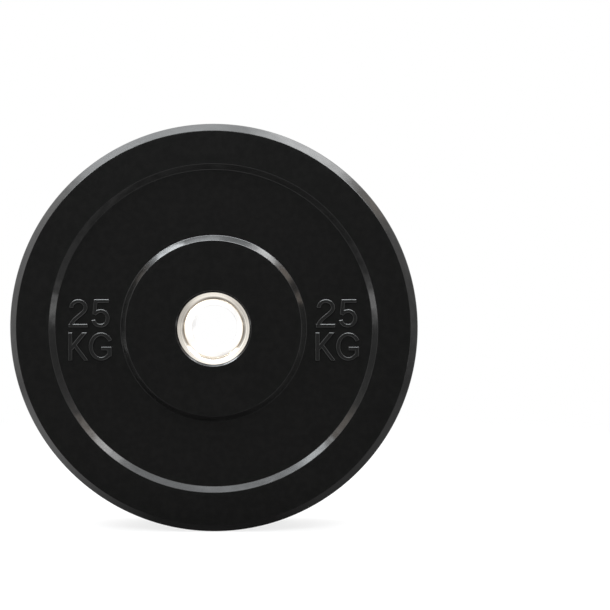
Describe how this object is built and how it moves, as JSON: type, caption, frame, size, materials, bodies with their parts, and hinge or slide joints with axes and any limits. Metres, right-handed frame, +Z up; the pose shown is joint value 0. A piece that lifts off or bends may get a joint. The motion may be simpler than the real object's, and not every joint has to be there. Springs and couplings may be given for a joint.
{
  "type": "bumper plate",
  "caption": "Round black rubber weight plate with a bevelled rim, a sunken web, a raised hub and a flared steel insert for a 50 mm barbell sleeve.",
  "frame": {"origin": "centre of the bore, midway between the two faces", "axes": "+Y along the bore, away from the front face, which looks towards -Y; +X to the right seen from the front; +Z up, so the weight marks read upright and the plate stands on its rim"},
  "size_m": [0.45, 0.095, 0.45],
  "materials": {
    "black_rubber": "moulded black rubber, matt with a fine grain on the faces and smoother on the bevels and steps",
    "polished_steel": "turned and polished stainless steel",
    "bore_steel": "smooth bored stainless steel",
    "plain_steel": "plain steel plate, buried in the rubber"
  },
  "bodies": {
    "root": {"rubber_disc": "black_rubber", "front_collar": "polished_steel", "rear_collar": "polished_steel", "bore_sleeve": "bore_steel", "anchor_plate": "plain_steel"}
  },
  "joints": []
}
